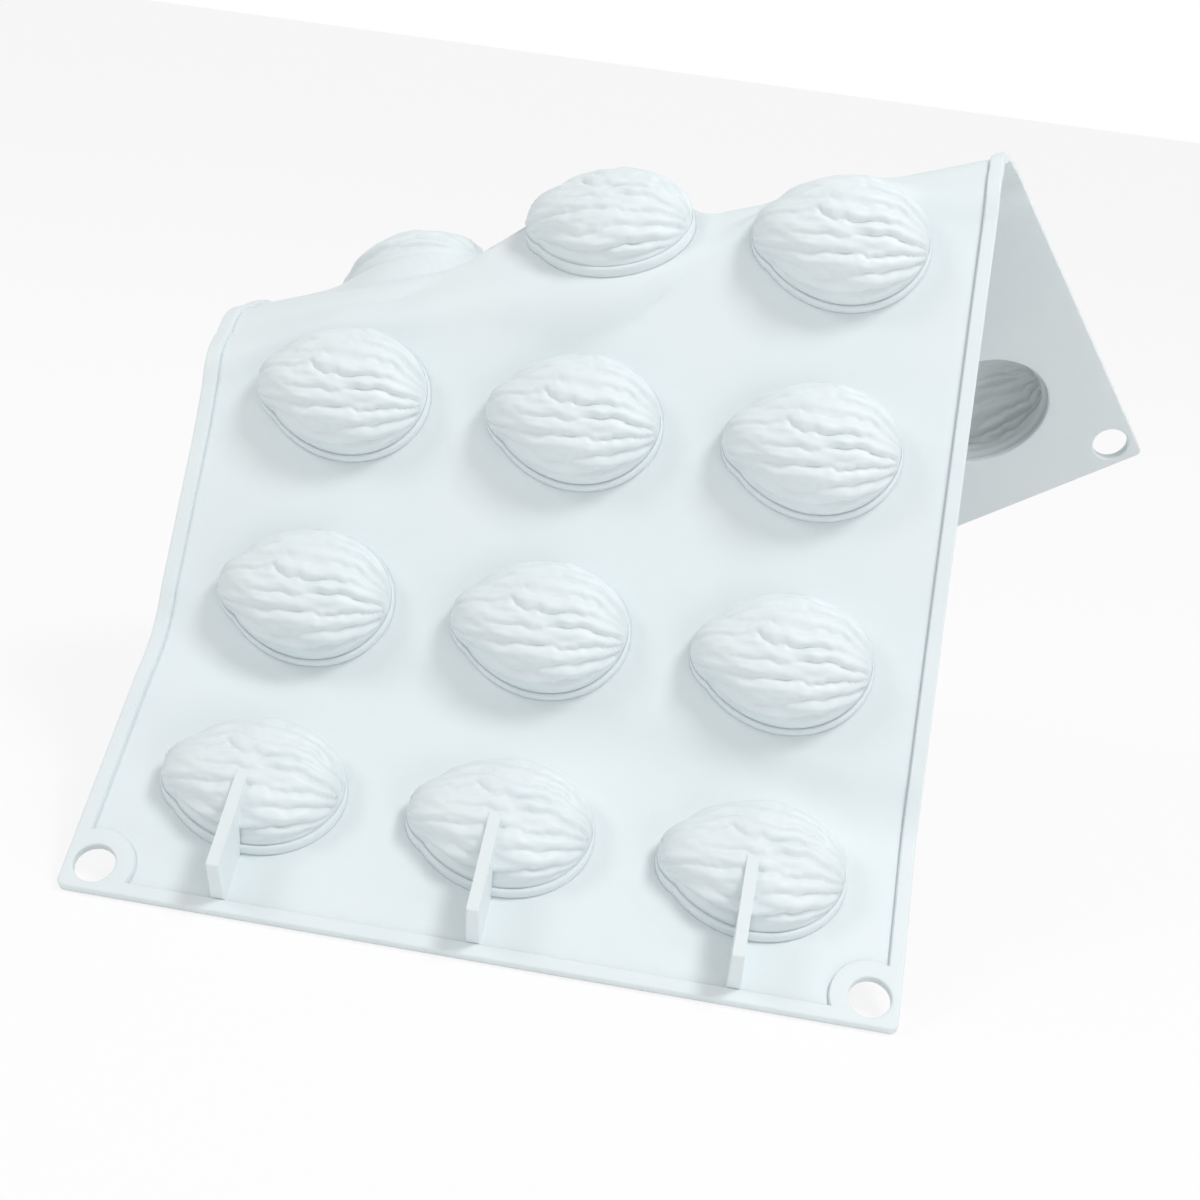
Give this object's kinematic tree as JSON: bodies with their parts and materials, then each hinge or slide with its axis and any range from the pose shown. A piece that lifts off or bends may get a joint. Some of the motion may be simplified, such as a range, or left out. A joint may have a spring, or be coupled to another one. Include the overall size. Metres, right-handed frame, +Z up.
{
  "type": "silicone baking mold",
  "caption": "Flexible silicone baking mold with walnut-shell cavities, raised rim, corner eyelets and stiffening feet, shown folded over a slanting crest.",
  "frame": {"origin": "bottom centre of the overall box in the rest pose, on the surface that the mold stands on", "axes": "+X along the front edge to the right, +Y from the front edge to the back flap, +Z up"},
  "size_m": [0.2256, 0.1746, 0.1671],
  "materials": {
    "silicone": "satin"
  },
  "bodies": {
    "row_1": {"web_row_1": "silicone", "rim_left_row_1": "silicone", "rim_right_row_1": "silicone", "rim_front": "silicone", "eyelet_front_left": "silicone", "eyelet_front_right": "silicone", "walnut_cup_row_1_left": "silicone", "foot_front_left": "silicone", "walnut_cup_row_1_middle": "silicone", "foot_front_middle": "silicone", "walnut_cup_row_1_right": "silicone", "foot_front_right": "silicone"},
    "row_2": {"web_row_2": "silicone", "rim_left_row_2": "silicone", "rim_right_row_2": "silicone", "walnut_cup_row_2_left": "silicone", "walnut_cup_row_2_middle": "silicone", "walnut_cup_row_2_right": "silicone"},
    "row_3": {"web_row_3": "silicone", "rim_left_row_3": "silicone", "rim_right_row_3": "silicone", "walnut_cup_row_3_left": "silicone", "walnut_cup_row_3_middle": "silicone", "walnut_cup_row_3_right": "silicone", "walnut_cup_row_4_right": "silicone"},
    "crest_front": {"web_crest_front_left": "silicone", "web_crest_front_right": "silicone", "rim_left_crest_front": "silicone", "rim_right_crest_front": "silicone", "walnut_cup_row_4_middle": "silicone"},
    "crest_top": {"web_crest_top_left": "silicone", "web_crest_top_right": "silicone", "rim_left_crest_top": "silicone", "rim_right_crest_top": "silicone"},
    "crest_back": {"web_crest_back": "silicone", "rim_left_crest_back": "silicone", "rim_right_crest_back": "silicone", "walnut_cup_row_4_left": "silicone"},
    "row_5": {"web_row_5": "silicone", "rim_left_row_5": "silicone", "rim_right_row_5": "silicone", "walnut_cup_row_5_left": "silicone", "walnut_cup_row_5_middle": "silicone", "walnut_cup_row_5_right": "silicone"},
    "row_6": {"web_row_6": "silicone", "rim_left_row_6": "silicone", "rim_right_row_6": "silicone", "rim_back": "silicone", "eyelet_back_right": "silicone", "eyelet_back_left": "silicone", "walnut_cup_row_6_left": "silicone", "foot_back_left": "silicone", "walnut_cup_row_6_middle": "silicone", "foot_back_middle": "silicone", "walnut_cup_row_6_right": "silicone", "foot_back_right": "silicone"}
  },
  "joints": [
    {"name": "flex_row_1_row_2", "type": "hinge", "parent": "row_1", "child": "row_2", "pos_m": [-0.02401, -0.0423, 0.03448], "axis": [-0.9928, 0.0962, 0.071], "range_deg": [-7, 29]},
    {"name": "flex_row_2_row_3", "type": "hinge", "parent": "row_2", "child": "row_3", "pos_m": [-0.02449, -0.01782, 0.0765], "axis": [-0.9937, 0.0924, 0.0639], "range_deg": [-8, 12]},
    {"name": "crest_bend_1", "type": "hinge", "parent": "row_3", "child": "crest_front", "pos_m": [-0.02531, 0.00726, 0.12902], "axis": [-0.937, -0.0919, -0.3371], "range_deg": [-33.5, 2.5]},
    {"name": "crest_bend_2", "type": "hinge", "parent": "crest_front", "child": "crest_top", "pos_m": [-0.02462, 0.01554, 0.13471], "axis": [-0.9441, -0.067, -0.3228], "range_deg": [-33.5, 2.5]},
    {"name": "crest_bend_3", "type": "hinge", "parent": "crest_top", "child": "crest_back", "pos_m": [-0.02241, 0.02484, 0.13529], "axis": [-0.9454, -0.037, -0.3238], "range_deg": [-33.5, 2.5]},
    {"name": "crest_bend_4", "type": "hinge", "parent": "crest_back", "child": "row_5", "pos_m": [-0.01831, 0.03291, 0.13091], "axis": [-0.9402, -0.0117, -0.3404], "range_deg": [-33.5, 2.5]},
    {"name": "flex_row_5_row_6", "type": "hinge", "parent": "row_5", "child": "row_6", "pos_m": [0.01352, 0.05486, 0.08519], "axis": [-0.8357, 0.0802, -0.5433], "range_deg": [-6, 24]}
  ],
  "couplings": [
    {"joint": "crest_bend_2", "follows": "crest_bend_1", "ratio": 1},
    {"joint": "crest_bend_3", "follows": "crest_bend_1", "ratio": 1},
    {"joint": "crest_bend_4", "follows": "crest_bend_1", "ratio": 1}
  ]
}
